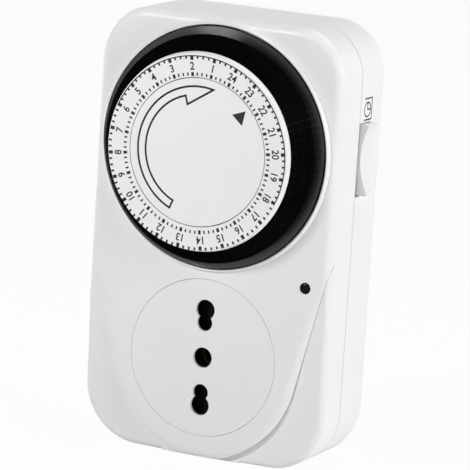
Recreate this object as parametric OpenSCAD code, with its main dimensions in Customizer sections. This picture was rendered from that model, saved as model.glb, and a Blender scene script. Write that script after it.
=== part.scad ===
// Plug-in socket timer with a 24-hour dial, a side rocker and a round socket
// +X is right, +Y goes back to the wall and +Z is up. The origin is the root of the
// plug's earth pin, on the face that meets the wall socket. Depths below are counted
// from the front face of the case, positive towards the wall.

/* [Case] */
// Width of the case
case_w = 71; // [68:0.5:80]
// Height of the case above the axis of the socket
case_top = 91.3; // [89:0.1:100]
// Height of the case below the axis of the socket
case_bottom = 27.5; // [26:0.1:34]
// Depth of the case from front face to rear face
case_d = 28; // [27.8:0.1:34]
// Depth of the parting line
parting_d = 12.2; // [11.8:0.1:13]
// Corner radius at the top
top_r = 13.7; // [12:0.1:16]
// Corner radius at the bottom
bottom_r = 15.7; // [12:0.1:18]
// Rounding of the front edge
front_edge = 2.5; // [1.5:0.1:3]
// Rounding of the rear edge
rear_edge = 3; // [1.5:0.1:4]
// Thickness of the walls
wall = 2.2; // [1.8:0.1:2.4]
// Half width of the open line between the two covers
parting_gap = 0.1; // [0.05:0.05:0.2]
// Length of the tongue that centres the covers
tongue_l = 2; // [1:0.1:3]
// Thickness of the tongue
tongue_t = 0.9; // [0.6:0.1:1.2]

/* [Shield] */
// Height where the raised front panel starts to stand proud
shield_top = 30; // [24:0.5:36]
// Step of the raised panel at the bottom edge
shield_step = 2.4; // [1:0.1:3]
// Slope of the panel's straight edge in degrees
shield_slope = 14.2; // [10:0.1:18]
// Radius of the panel's edge at the bottom corners
shield_r = 29.6; // [24:0.1:36]

/* [Dial] */
// Height of the dial's axis
dial_z = 56.85; // [56:0.05:57.5]
// Height of the dial's face above the front face
dial_h = 11.1; // [10:0.1:13]
// Radius of the number ring
ring_r = 26.4; // [25:0.1:27]
// Slope of the number ring's edge
ring_edge = 0.4; // [0.2:0.1:1]
// Radius of the still disc in the middle
centre_r = 19.5; // [15:0.1:21]
// Thickness of the number ring and the still disc
ring_t = 1.5; // [1:0.1:2]
// Radius of the segment carrier's flange
flange_r = 32.1; // [31.9:0.1:32.6]
// Thickness of the flange
flange_t = 1.2; // [0.8:0.1:1.5]
// Gap from the flange to the front face
flange_lift = 0.4; // [0.3:0.1:1]
// Thickness of the carrier's wall and web
carrier_t = 1.6; // [1:0.1:2]
// Radius of the raised collar round the dial
collar_r = 33.4; // [33.1:0.1:34.2]
// Height of the collar
collar_h = 1.2; // [0.7:0.1:2]
// Depth of the well behind the dial
well_d = 2.8; // [2.7:0.1:3.2]
// Thickness of the well's floor
well_t = 2; // [1.5:0.1:2.2]
// Radius of the fixed spindle
spindle_r = 3; // [2:0.1:3.5]
// Wall of the carrier's hub
hub_t = 2.2; // [1.5:0.1:2.5]

/* [Segments] */
// Number of switching segments on the dial
segments = 96; // [48:48:96]
// Travel of a segment that is pushed in
segment_travel = 2.4; // [1.5:0.1:2.4]
// Open space between neighbouring segments
segment_gap = 0.16; // [0.1:0.02:0.3]
// Radius of the middle of a segment's foot
foot_r = 28.6; // [28.3:0.1:29]
// Thickness of a segment's foot
foot_t = 1.2; // [0.8:0.1:1.4]

/* [Socket] */
// Radius of the round socket face
socket_r = 21.2; // [20.5:0.1:21.5]
// Thickness of the socket face
socket_t = 2.4; // [2.3:0.1:3]
// Distance of the large pins from the axis
large_pitch = 13; // [13:0.1:13.2]
// Distance of the small pins from the axis
small_pitch = 9.5; // [9.4:0.1:9.6]
// Radius of the holes for the large pins
large_r = 2.75; // [2.6:0.05:2.9]
// Radius of the holes for the small pins
small_r = 2.25; // [2.1:0.05:2.4]
// Thickness of the shutter
shutter_t = 1.2; // [0.8:0.1:1.4]
// Travel of the shutter
shutter_travel = 6.6; // [6.4:0.1:7]
// Thickness of the brass strips
strip_t = 0.6; // [0.4:0.1:0.7]

/* [Plug] */
// Radius of the plug's pins
pin_r = 2.5; // [2.4:0.05:2.5]
// Length of the plug's pins
pin_l = 19; // [18:0.5:20]
// Height of the round plug boss behind the rear face
boss_h = 3; // [2:0.5:6]
// Radius of the plug boss
boss_r = 21; // [18:0.5:22]
// Length of the insulating sleeves on the outer pins
sleeve_l = 10; // [6:0.5:12]
// Depth of the neck under the sleeves
sleeve_t = 0.5; // [0.4:0.05:0.6]

/* [Rocker] */
// Height of the rocker's axis
rocker_z = 56.3; // [55:0.1:57]
// Length of the rocker
rocker_l = 19; // [16:0.1:20]
// Width of the rocker
rocker_w = 6; // [5:0.1:8]
// Height that the rocker's ends stand out of the case
rocker_out = 2.8; // [1.8:0.1:3]
// Hollow of the rocker's face
rocker_dip = 2.1; // [0.5:0.1:2.4]
// Angle between the rocker's two positions in degrees
rocker_swing = 4; // [3:0.5:6]
// Radius of the rocker's axle
rocker_axle_r = 1.2; // [0.8:0.1:1.4]

/* [Lamp] */
// Distance of the lamp from the side of the case
lamp_side = 7; // [6.5:0.1:8]
// Height of the lamp
lamp_z = 23; // [22:0.1:24]
// Radius of the lamp's lens
lamp_r = 1.5; // [1.4:0.1:2]

/* [Gear train] */
// Module of all the teeth
tooth_m = 0.3; // [0.28:0.01:0.3]
// Teeth on every pinion
pinion_n = 8; // [8:1:9]
// Teeth on the first and the fourth wheel
small_n = 60; // [58:1:60]
// Teeth on the second, third and fifth wheel
large_n = 64; // [62:1:64]
// Teeth on the dial's drive wheel
drive_n = 120; // [110:1:124]
// Thickness of the teeth
gear_t = 1; // [0.8:0.1:1.1]
// Distance between neighbouring layers of wheels
layer_pitch = 1.5; // [1.4:0.05:1.5]
// Radius of the fixed arbors
arbor_r = 0.4; // [0.3:0.05:0.45]
// Thickness of the mechanism plate
plate_t = 1.5; // [1:0.1:1.6]
// Thickness of the gear plate behind the wheels
gear_plate_t = 1; // [0.8:0.1:1.1]

/* [Motor] */
// Radius of the motor's can
motor_r = 14; // [12:0.1:14]
// Open space behind the motor's can
motor_room = 0.4; // [0.3:0.1:1]
// Sheet thickness of the can
motor_t = 0.6; // [0.4:0.1:0.8]
// Radius of the rotor's magnet
magnet_r = 6.3; // [5:0.1:6.5]

/* [Switch] */
// Length of the switch body
switch_l = 20; // [19:0.1:20]
// Height of the switch body
switch_h = 10; // [9:0.1:10]
// Thickness of the switch body
switch_w = 6.4; // [6:0.1:6.6]

/* [Fits] */
// Radial play of a running fit
run_gap = 0.05; // [0.03:0.01:0.08]
// Play between fixed pieces that slip together
slip_gap = 0.1; // [0.05:0.05:0.15]
// Open space between pieces that pass each other
pass_gap = 0.25; // [0.2:0.05:0.3]

/* [Hidden] */
$fn = 96;
eps = 0.01;

white = [0.90, 0.90, 0.89];
black = [0.06, 0.06, 0.06];
brass = [0.80, 0.66, 0.34];
steel = [0.70, 0.71, 0.73];
nylon = [0.88, 0.85, 0.76];
copper = [0.72, 0.40, 0.22];
amber = [0.55, 0.20, 0.10];
green = [0.10, 0.35, 0.20];

// Half width of the case, and the place of its inner faces
half_w = case_w / 2;
inner_x = half_w - wall;
inner_back = case_d - wall;

// Open space between neighbouring layers, and round the flange
layer_gap = 0.5;

// Depths of the dial's pieces, negative in front of the case
ring_back = ring_t - dial_h;
flange_front = -flange_lift - flange_t;
well_r = flange_r + layer_gap;
floor_back = well_d + well_t;
hub_r = spindle_r + run_gap + hub_t;
hub_end = floor_back - layer_gap;
hub_room = 1;
collar_bevel = [0.5, 0.7];
washer_t = 0.4;
carrier_wall_in = ring_r - carrier_t;
disc_peg_l = 4;

// Depths of the mechanism's layers
drive_d = hub_end + washer_t + layer_gap;
drive_rim_t = 1.4;
drive_hub_t = 3.05;
plate_d = drive_d + drive_hub_t + pass_gap;
plate_back = plate_d + plate_t;
function layer(k) = plate_back + layer_gap + (5 - k) * layer_pitch;
gear_plate_d = layer(1) + gear_t + layer_gap;
motor_front = gear_plate_d + gear_plate_t;
motor_d = inner_back - motor_room - motor_front;

// Places of the arbors: each stands one centre distance from the next, in a zigzag
train_dir = 105;
train_zig = 54;
drive_angle = 250;
function spoke(a, r) = [r * cos(a), r * sin(a)];
function mesh_r(n) = tooth_m * (pinion_n + n) / 2;
dial_at = [0, dial_z];
fifth_at = dial_at + spoke(drive_angle, mesh_r(drive_n));
fourth_at = fifth_at + spoke(train_dir - train_zig, mesh_r(large_n));
third_at = fourth_at + spoke(train_dir + train_zig, mesh_r(small_n));
second_at = third_at + spoke(train_dir - train_zig, mesh_r(large_n));
first_at = second_at + spoke(train_dir + train_zig, mesh_r(large_n));
rotor_at = first_at + spoke(train_dir - train_zig, mesh_r(small_n));
function toward(a, b) = atan2(b[1] - a[1], b[0] - a[0]);

// Edges of the two plates, and the places of what holds them
plate_left = -25;
plate_right = 15.5;
gear_plate_right = 11;
plate_low = 27;
plate_high = 86;
pillar_at = [[-19, 30], [7, 30], [-22, 74], [9, 76]];
pillar_r = 1.8;
plate_post_at = [[-23, 36], [13, 34], [-19.5, 83.4], [13, 82]];
post_r = 2.4;
screw_r = 1;
screw_head_r = 1.9;
screw_head_t = 1;
plate_bite = 0.25;
screw_clear = 0.6;
pinion_room = 0.5;
spindle_step = 1;
shaft_r = 1;

// Case screws, each set in from its corner by a distance across and a height
top_screw_in = [8, 11.8];
low_screw_in = [10.5, 11];
case_screw_at = [for (side = [-1, 1])
    each [[side * (half_w - top_screw_in[0]), case_top - top_screw_in[1]],
          [side * (half_w - low_screw_in[0]), low_screw_in[1] - case_bottom]]];
case_screw_r = 1.4;
case_head_r = 2.7;
case_head_t = 1.8;
case_post_r = 3.6;
case_sink = 4.5;
case_head_d = case_d - case_sink;
thread_bite = 0.35;
case_screw_stop = wall + 0.8;
case_screw_clear = 1;

// Rocker, in the side of the rear cover
rocker_front = parting_d + 0.4;
rocker_x = half_w - 4;
rocker_room = 0.35;
rocker_ear = 3;
rocker_heel = 1.6;
ear_t = 1.4;
axle_front = rocker_front - pass_gap - ear_t + slip_gap;
axle_back = rocker_front + rocker_w + pass_gap + ear_t - slip_gap;

// Feeler lever: its nose stands behind the feet of the pushed segments
feeler_angle = -35;
nose_at = dial_at + spoke(feeler_angle, foot_r);
nose_r = 1.3;
nose_tip = segment_travel - flange_lift + slip_gap + pass_gap;
feeler_pin_r = 1;
feeler_back = 3.6;
feeler_reach = 9.2;
feeler_pin_d = floor_back + feeler_back;
feeler_z = nose_at[1] - feeler_reach;
feeler_w = 2.6;
feeler_hub_l = 5;
feeler_hub_r = 2.2;
feeler_pin_l = feeler_hub_l + 2 * (pass_gap + ear_t);
feeler_arm_t = 2;
feeler_ear = 2.6;
nose_room = 0.6;

// Switch, below the rear arm of the feeler lever
switch_d = 16;
plunger_d = switch_d + switch_w / 2;
plunger_t = 2;
plunger_up = 1.8;
plunger_lift = 2.6;
switch_top = feeler_z - feeler_arm_t / 2 - pass_gap - plunger_up;
switch_wall = 0.8;
switch_side = 1.5;
switch_left = inner_x - switch_side - switch_l;
terminal_x = [switch_left + 2.2, switch_left + 10, switch_left + 17.6];
terminal_l = 5.5;
blade_z = switch_top - switch_h + 1.6;
terminal_w = 3.6;

// Contacts and strips behind the socket
leaf_in = pin_r + slip_gap;
contact_front = 6.4;
terminal_room = 0.4;
base_d = plunger_d - terminal_w / 2 - terminal_room;
base_t = 2;
base_half_w = 8;
base_half_h = 18.4;
pin_head_t = 1.3;
pin_head_r = 3.3;
post_in_r = 1.6;
bar_d = inner_back - pin_head_t - strip_t;
bar_half = 2.5;

// Lamp
lamp_x = half_w - lamp_side;
lamp_board_d = 8;
lamp_board_t = 1;
lamp_board_w = 7;
lamp_seat_gap = 0.4;
lamp_seat_t = 1;
lens_dome = 0.4;
lens_dome_r = (lamp_r ^ 2 + lens_dome ^ 2) / (2 * lens_dome);
lens_back = wall + 1.2;
led_r = 1.45;
leg_r = 0.25;
leg_x = 0.9;

// Shapes that several pieces share

module from_front() translate([0, -case_d - boss_h, 0]) children();

// Outline in the front view, drawn as a plate between two depths
module plate(d0, d1) translate([0, d1, 0]) rotate([90, 0, 0]) linear_extrude(d1 - d0) children();

// Turned piece about an axis along the depth; points are radius and depth
module turned(points, at = [0, 0], angle = 360, start = 0)
    translate([at[0], 0, at[1]])
        rotate([90, 0, 0])
            rotate([0, 0, start])
                rotate_extrude(angle = angle)
                    polygon([for (p = points) [p[0], -p[1]]]);

// Round bar between two depths
module bar(r, d0, d1, at = [0, 0])
    translate([at[0], d1, at[1]]) rotate([90, 0, 0]) cylinder(r = r, h = d1 - d0);

module tube(r_in, r_out, d0, d1, at = [0, 0])
    difference() {
        bar(r_out, d0, d1, at);
        bar(r_in, d0 - 1, d1 + 1, at);
    }

// Box from its lowest to its highest corner: across, depth, height
module box(low, high) translate(low) cube(high - low);

// Wire of eight sides along a line of points, with one ring of corners at each point
wire_sides = 8;
function unit(v) = v / norm(v);
module wire(points, r) {
    last = len(points) - 1;
    skew = [0.5, 0.8, 0.2];
    corners = [for (i = [0 : last])
        let (along = unit(points[min(i + 1, last)] - points[max(i - 1, 0)]),
             across = unit(cross(along, skew)),
             up = cross(along, across))
        for (j = [0 : wire_sides - 1])
            points[i] + r * (cos(j * 360 / wire_sides) * across + sin(j * 360 / wire_sides) * up)];
    function at(i, j) = i * wire_sides + j % wire_sides;
    sides = [for (i = [0 : last - 1], j = [0 : wire_sides - 1])
        each [[at(i, j), at(i + 1, j), at(i + 1, j + 1)], [at(i, j), at(i + 1, j + 1), at(i, j + 1)]]];
    start = [for (j = [0 : wire_sides - 1]) at(0, j)];
    end = [for (j = [wire_sides - 1 : -1 : 0]) at(last, j)];
    polyhedron(corners, concat(sides, [start, end]));
}

// Points of a quarter arc about a centre
arc_steps = 8;
function arc(c, r, a0, a1) = [for (i = [0 : arc_steps]) c + spoke(a0 + (a1 - a0) * i / arc_steps, r)];

// Block of the case drawn in by inset, with a round edge at depth 0, open ended at depth d
module case_block(inset, d, edge) {
    x = half_w - inset;
    z_top = case_top - inset;
    z_low = -case_bottom + inset;
    rt = top_r - inset;
    rb = bottom_r - inset;
    // half section of a rim of radius r, as across and depth
    function rim(r) = concat([[0, 0]], arc([r - edge, edge], edge, -90, 0), [[r, d], [0, d]]);
    for (side = [-1, 1]) {
        turned(rim(rt), [side * (x - rt), z_top - rt], 90, side > 0 ? 0 : 90);
        turned(rim(rb), [side * (x - rb), z_low + rb], 90, side > 0 ? 270 : 180);
        translate([side * (x - rb), 0, z_low + rb])
            mirror([side > 0 ? 0 : 1, 0, 0])
                linear_extrude(z_top - rt - z_low - rb)
                    polygon(rim(rb));
    }
    translate([rt - x, 0, z_top - rt])
        rotate([90, 0, 90])
            linear_extrude(2 * (x - rt))
                polygon([for (p = rim(rt)) [p[1], p[0]]]);
    translate([rb - x, 0, z_low + rb])
        rotate([90, 0, 90])
            linear_extrude(2 * (x - rb))
                polygon([for (p = rim(rb)) [p[1], -p[0]]]);
    box([rb - x, 0, z_low + rb], [x - rb, d, z_top - rt]);
}

module rear_facing() translate([0, case_d, 0]) mirror([0, 1, 0]) children();

// Ground beside the raised panel on one side, in the front view, widened by grow
module beside_shield(grow) {
    far = case_w;
    start = [half_w, shield_top];
    down = [-sin(shield_slope), -cos(shield_slope)];
    straight = shield_top / cos(shield_slope) + 6;
    bend = start + straight * down;
    centre = bend + shield_r * [-cos(shield_slope), sin(shield_slope)];
    r = shield_r - grow;
    turn = acos(min(1, (case_bottom + centre[1]) / r));
    edge = arc(centre, r, -shield_slope, turn - 90);
    polygon(concat([[far, shield_top], [start[0] - grow, shield_top]], edge,
                   [[edge[arc_steps][0], -far], [far, -far]]));
}

// Wedge that lowers the two side panels, deepest at the bottom
module panel_cut(grow = 0) {
    lean = atan(shield_step / (shield_top + case_bottom));
    for (side = [0, 1])
        mirror([side, 0, 0])
            translate([0, 0, shield_top])
                rotate([lean, 0, 0])
                    translate([0, 0, -shield_top])
                        plate(-10, 0) beside_shield(grow);
}

// Toothed outline; a tooth stands at the angle phase
addendum = 0.75;
dedendum = 1.1;
tooth_root = 0.18;
tooth_tip = 0.07;
function gear_tip(n) = tooth_m * (n / 2 + addendum);
module teeth(n, phase) {
    root = tooth_m * (n / 2 - dedendum);
    tip = gear_tip(n);
    half_root = 180 * tooth_m * tooth_root / root;
    half_tip = 180 * tooth_m * tooth_tip / tip;
    tooth = [[root, -half_root], [tip, -half_tip], [tip, half_tip], [root, half_root]];
    polygon([for (i = [0 : n - 1], c = tooth) spoke(phase + i * 360 / n + c[1], c[0])]);
}

module gear(n, d0, d1, at, phase) translate([at[0], 0, at[1]]) plate(d0, d1) teeth(n, phase);

// Wheel number k at a place, driven from one arbor and driving another
module train_wheel(k, n, at, from, to) {
    pinion_d0 = k == 5 ? drive_d : layer(k + 1);
    pinion_d1 = k == 5 ? layer(5) : layer(k);
    difference() {
        union() {
            gear(n, layer(k), layer(k) + gear_t, at, toward(at, from) + 180 / n);
            gear(pinion_n, pinion_d0, pinion_d1, at, toward(at, to));
        }
        bar(arbor_r + run_gap, 0, case_d, at);
    }
}

// Screw with a round head at depth d, pointing to the front
module screw(r, l, head_r, head_t, d, at)
    difference() {
        union() {
            bar(r, d - l, d + eps, at);
            bar(head_r, d, d + head_t, at);
        }
        translate([at[0], d + head_t / 2, at[1]])
            for (turn = [0, 90])
                rotate([0, turn, 0])
                    box([-head_r * 0.6, 0, -head_r * 0.12], [head_r * 0.6, head_t, head_r * 0.12]);
    }

// Case

module front_cover() color(white) from_front() {
    difference() {
        union() {
            difference() {
                case_block(0, parting_d - parting_gap, front_edge);
                difference() {
                    translate([0, wall, 0]) case_block(wall, case_d, front_edge - 1);
                    translate([0, wall, 0]) panel_cut(wall);
                }
            }
            // wall and floor of the dial's well
            intersection() {
                turned([[hub_r + hub_room, well_d], [well_r, well_d], [well_r, eps], [well_r + wall, eps],
                        [well_r + wall, floor_back], [hub_r + hub_room, floor_back]], dial_at);
                case_block(wall / 2, parting_d, front_edge);
            }
            // raised collar
            turned([[well_r, wall], [well_r, -collar_h], [collar_r - collar_bevel[0], -collar_h],
                    [collar_r, collar_bevel[1] - collar_h], [collar_r, wall]], dial_at);
            // screw posts
            intersection() {
                for (p = case_screw_at) bar(case_post_r, eps, parting_d, p);
                case_block(wall / 2, parting_d - parting_gap, front_edge);
            }
            for (p = plate_post_at) bar(post_r, well_d, plate_d, p);
            // bearings of the feeler lever
            for (side = [-1, 1])
                translate([nose_at[0] + side * (feeler_hub_l / 2 + pass_gap + ear_t / 2), 0, 0])
                    box([-ear_t / 2, wall - eps, feeler_z - feeler_ear],
                        [ear_t / 2, feeler_pin_d + feeler_pin_r + 1, feeler_z + feeler_ear]);
            // front bearing of the rocker
            box([rocker_x - rocker_ear, rocker_front - pass_gap - ear_t, rocker_z - rocker_ear],
                [inner_x + eps, parting_d - parting_gap, rocker_z + rocker_ear]);
            // seat of the lamp's board
            tube(lamp_r + lamp_seat_gap, lamp_r + lamp_seat_gap + lamp_seat_t, wall - eps, lamp_board_d,
                 [lamp_x, lamp_z]);
        }
        panel_cut();
        bar(well_r, -case_d, well_d, dial_at);
        bar(nose_r + nose_room, 0, floor_back + 1, nose_at);
        bar(socket_r + slip_gap, -1, wall + 1);
        for (p = case_screw_at) bar(case_screw_r - thread_bite + slip_gap / 2, case_screw_stop, case_d, p);
        for (p = plate_post_at) bar(screw_r - plate_bite + slip_gap / 2, floor_back, case_d, p);
        translate([nose_at[0] - feeler_pin_l / 2, feeler_pin_d, feeler_z])
            rotate([0, 90, 0]) cylinder(r = feeler_pin_r + slip_gap / 2, h = feeler_pin_l);
        bar(rocker_axle_r + run_gap, rocker_front - pass_gap - ear_t - 1, case_d, [rocker_x, rocker_z]);
        bar(lamp_r + slip_gap / 2, -1, wall + 1, [lamp_x, lamp_z]);
        // room for the plate of the socket face
        bar(socket_flange_r + 3 * slip_gap, wall, contact_front);
    }
}

module rear_cover() color(white) from_front() {
    tongue_in = wall + slip_gap;
    difference() {
        union() {
            difference() {
                rear_facing() case_block(0, case_d - parting_d - parting_gap, rear_edge);
                rear_facing() translate([0, wall, 0]) case_block(wall, case_d, rear_edge - 1);
            }
            // tongue that reaches into the front cover, and its thicker root
            difference() {
                union() {
                    rear_facing() translate([0, wall, 0])
                        case_block(tongue_in, inner_back - parting_d + tongue_l, rear_edge - 1);
                    rear_facing() translate([0, wall, 0])
                        case_block(wall - eps, inner_back - parting_d - parting_gap, rear_edge - 1);
                }
                rear_facing() translate([0, wall, 0])
                    case_block(tongue_in + tongue_t, case_d, rear_edge - 1);
                box([-case_w, parting_d + tongue_l, -case_w], [case_w, case_d, 2 * case_w]);
                for (p = case_screw_at) bar(case_post_r + pass_gap, 0, parting_d + parting_gap, p);
                box([0, 0, rocker_z - rocker_ear - pass_gap],
                    [case_w, parting_d + parting_gap, rocker_z + rocker_ear + pass_gap]);
            }
            intersection() {
                for (p = case_screw_at) bar(case_post_r, parting_d + parting_gap, inner_back + eps, p);
                rear_facing() case_block(wall / 2, case_d, rear_edge);
            }
            bar(boss_r, inner_back, case_d + boss_h);
            // rear bearing of the rocker
            box([rocker_x - rocker_ear, rocker_front + rocker_w + pass_gap, rocker_z - rocker_ear],
                [inner_x + eps, rocker_front + rocker_w + pass_gap + ear_t, rocker_z + rocker_ear]);
        }
        for (z = [-large_pitch, 0, large_pitch]) bar(pin_r - sleeve_t + slip_gap / 2, 0, case_d * 2, [0, z]);
        for (p = case_screw_at) {
            bar(case_screw_r + slip_gap, 0, case_d + 1, p);
            bar(case_head_r + slip_gap, case_head_d, case_d + 1, p);
        }
        // window of the rocker
        box([rocker_x - rocker_heel - rocker_room, 0, rocker_z - rocker_l / 2 - rocker_room],
            [case_w, rocker_front + rocker_w + pass_gap, rocker_z + rocker_l / 2 + rocker_room]);
        bar(rocker_axle_r + run_gap, 0, axle_back + slip_gap, [rocker_x, rocker_z]);
    }
}

module case_screws() color(steel) from_front()
    for (p = case_screw_at)
        screw(case_screw_r - thread_bite, case_head_d - case_screw_stop - case_screw_clear, case_head_r,
              case_head_t, case_head_d + eps, p);

// Socket

module pin_holes(d0, d1) {
    bar(large_r, d0, d1);
    for (side = [-1, 1]) {
        bar(large_r, d0, d1, [0, side * large_pitch]);
        bar(small_r, d0, d1, [0, side * small_pitch]);
    }
}

socket_flange_r = socket_r + 1.5;
socket_flange_t = 1.2;
rail_z = 17.2;
rail_t = 1.2;
rail_lip_t = 0.6;
rail_left = -6;
rail_right = 11.5;
shutter_front = socket_t + socket_flange_t + pass_gap;
shutter_back = shutter_front + shutter_t;
rail_back = shutter_back + pass_gap + rail_lip_t;
shutter_lap = 0.6;
bridge_in = large_r + 0.8;
bridge_w = 2.4;
bridge_out = bridge_in + bridge_w;
bridge_half = 4;
spring_packed = 4.4;
spring_stop = bridge_out + shutter_travel + spring_packed;
spring_r = 0.75;
spring_wire = 0.3;
stop_half = 2;
stop_t = 1.4;

module socket_faceplate() color(white) from_front()
    difference() {
        union() {
            bar(socket_r, 0, socket_t + eps);
            bar(socket_flange_r, socket_t, socket_t + socket_flange_t);
            for (side = [-1, 1])
                mirror([0, 0, side > 0 ? 0 : 1]) {
                    box([rail_left, socket_t, rail_z], [rail_right, rail_back, rail_z + rail_t]);
                    box([rail_left, shutter_back + pass_gap, rail_z - rail_t],
                        [rail_right, rail_back, rail_z + eps]);
                }
            box([spring_stop, socket_t, -stop_half], [spring_stop + stop_t, rail_back, stop_half]);
        }
        pin_holes(-1, case_d);
    }

module socket_shutter() color(black) from_front()
    difference() {
        box([-large_r - shutter_lap, shutter_front, slip_gap - rail_z],
            [bridge_out, shutter_back, rail_z - slip_gap]);
        box([-case_w, 0, -bridge_half], [bridge_in, case_d, bridge_half]);
    }

module shutter_spring() color(steel) from_front()
    translate([bridge_out + slip_gap, (shutter_front + shutter_back) / 2, 0])
        rotate([0, 90, 0])
            difference() {
                cylinder(r = spring_r, h = spring_stop - bridge_out - 2 * slip_gap);
                translate([0, 0, -1]) cylinder(r = spring_r - spring_wire, h = spring_stop);
            }

// Sprung brass channel behind one pair of holes, towards +Z
module pair_contact() {
    lap = 0.4;
    low = small_pitch - small_r - lap;
    high = large_pitch + large_r + lap;
    for (side = [-1, 1])
        mirror([side > 0 ? 0 : 1, 0, 0])
            box([leaf_in, contact_front, low], [leaf_in + strip_t, base_d - eps, high]);
    box([-leaf_in - eps, base_d - strip_t, low], [leaf_in + eps, base_d - eps, high]);
}

module line_socket_contact() color(brass) from_front() pair_contact();

module neutral_socket_contact() color(brass) from_front()
    difference() {
        mirror([0, 0, 1]) pair_contact();
        bar(post_in_r + slip_gap / 2, 0, case_d, [0, -large_pitch]);
    }

slit_half = 0.4;
slit_end = 2;

module earth_socket_contact() color(brass) from_front()
    difference() {
        tube(leaf_in, leaf_in + strip_t, contact_front, base_d - eps);
        box([-slit_half, 0, -case_w], [slit_half, base_d - slit_end, case_w]);
    }

module contact_base() color(nylon) from_front()
    difference() {
        union() {
            box([-base_half_w, base_d, -base_half_h], [base_half_w, base_d + base_t, base_half_h]);
            for (x = [-1, 1], z = [-1, 1])
                translate([x * (base_half_w - 1), 0, z * (base_half_h - 1)])
                    box([-1, base_d, -1], [1, inner_back, 1]);
        }
        for (z = [-large_pitch, 0]) bar(post_in_r + slip_gap / 2, 0, case_d, [0, z]);
    }

// Plug

// Pin with a dome at its tip, a neck under the sleeve and a head inside the case
module plug_pin(z, sleeved, inner_end) {
    root = case_d + boss_h;
    neck_r = pin_r - sleeve_t;
    tip_r = 1.5;
    dome = arc([pin_r - tip_r, root + pin_l - tip_r], tip_r, 0, 90);
    shank = sleeved
        ? [[neck_r, inner_back], [neck_r, root + sleeve_l], [pin_r, root + sleeve_l]]
        : [[neck_r, inner_back], [neck_r, root], [pin_r, root]];
    turned(concat(
        [[0, inner_end], [post_in_r, inner_end], [post_in_r, inner_back - pin_head_t],
         [pin_head_r, inner_back - pin_head_t], [pin_head_r, inner_back]],
        shank, dome, [[0, root + pin_l]]), [0, z]);
}

module plug_earth_pin() color(brass) from_front() plug_pin(0, false, base_d - strip_t);

module plug_neutral_pin() color(brass) from_front() plug_pin(-large_pitch, true, base_d - strip_t);

module plug_line_pin() color(brass) from_front() plug_pin(large_pitch, true, bar_d);

module pin_sleeves() color(black) from_front()
    for (side = [-1, 1])
        tube(pin_r - sleeve_t + slip_gap / 4, pin_r, case_d + boss_h, case_d + boss_h + sleeve_l,
             [0, side * large_pitch]);

// Strip from the line pin, bent forward along the first terminal
module line_bar() color(brass) from_front() {
    low = large_pitch - bar_half;
    high = large_pitch + bar_half;
    end = terminal_x[0] - slip_gap / 2;
    difference() {
        union() {
            box([-bar_half, bar_d, low], [end, bar_d + strip_t, high]);
            box([end - strip_t, plunger_d + terminal_room, low], [end, bar_d + eps, high]);
        }
        bar(post_in_r + slip_gap / 2, 0, case_d, [0, large_pitch]);
    }
}

load_bar_low = large_pitch - 1;
load_bar_w = 3;
load_bar_lap = 1;

module load_bar() color(brass) from_front() {
    low = load_bar_low;
    high = load_bar_low + load_bar_w;
    end = terminal_x[1] - slip_gap / 2;
    box([leaf_in + strip_t + slip_gap / 2, base_d - strip_t, low], [end, base_d - eps, high]);
    box([end - strip_t, base_d - strip_t, low], [end, plunger_d + load_bar_lap, high]);
}

// Switch

module switch_case() color(black) from_front()
    difference() {
        box([switch_left, switch_d, switch_top - switch_h],
            [switch_left + switch_l, switch_d + switch_w - switch_wall, switch_top]);
        box([switch_left + switch_wall, switch_d + switch_wall, switch_top - switch_h + switch_wall],
            [switch_left + switch_l - switch_wall, case_d, switch_top - switch_wall]);
        box([nose_at[0] - plunger_t / 2 - slip_gap, plunger_d - plunger_t / 2 - slip_gap, 0],
            [nose_at[0] + plunger_t / 2 + slip_gap, plunger_d + plunger_t / 2 + slip_gap, case_top]);
        for (x = terminal_x)
            box([x - slip_gap / 2, plunger_d - (terminal_w + slip_gap) / 2, -case_top],
                [x + strip_t + slip_gap / 2, plunger_d + (terminal_w + slip_gap) / 2,
                 switch_top - switch_wall - 1]);
    }

module switch_lid() color(amber) from_front()
    box([switch_left, switch_d + switch_w - switch_wall, switch_top - switch_h],
        [switch_left + switch_l, switch_d + switch_w, switch_top]);

module switch_plunger() color(amber) from_front()
    box([nose_at[0] - plunger_t / 2, plunger_d - plunger_t / 2, blade_z + plunger_lift],
        [nose_at[0] + plunger_t / 2, plunger_d + plunger_t / 2, switch_top + plunger_up]);

module switch_terminals() color(brass) from_front()
    for (x = terminal_x)
        box([x, plunger_d - terminal_w / 2, switch_top - switch_h - terminal_l],
            [x + strip_t, plunger_d + terminal_w / 2, blade_z]);

// Sprung blade on the first terminal, with its contact button over the second
module switch_blade() color(copper) from_front() {
    z = blade_z + slip_gap;
    half = 1.5;
    t = 0.3;
    button_r = 1.2;
    button_h = 0.8;
    box([terminal_x[0], plunger_d - half, z], [terminal_x[2] + strip_t, plunger_d + half, z + t]);
    translate([terminal_x[1] + strip_t / 2, plunger_d, z + t - eps]) cylinder(r = button_r, h = button_h);
}

module feeler_lever() color(nylon) from_front() {
    x0 = nose_at[0] - feeler_w / 2;
    x1 = nose_at[0] + feeler_w / 2;
    arm_d = feeler_pin_d - 0.6 * feeler_arm_t;
    difference() {
        union() {
            translate([nose_at[0] - feeler_hub_l / 2, feeler_pin_d, feeler_z])
                rotate([0, 90, 0]) cylinder(r = feeler_hub_r, h = feeler_hub_l);
            box([x0, arm_d, feeler_z], [x1, arm_d + feeler_arm_t, nose_at[1] + nose_r]);
            bar(nose_r, nose_tip, arm_d + eps, nose_at);
            box([x0, feeler_pin_d, feeler_z - feeler_arm_t / 2],
                [x1, plunger_d + 0.6 * plunger_t, feeler_z + feeler_arm_t / 2]);
        }
        translate([nose_at[0] - case_w, feeler_pin_d, feeler_z])
            rotate([0, 90, 0]) cylinder(r = feeler_pin_r + run_gap, h = 2 * case_w);
    }
}

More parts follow.
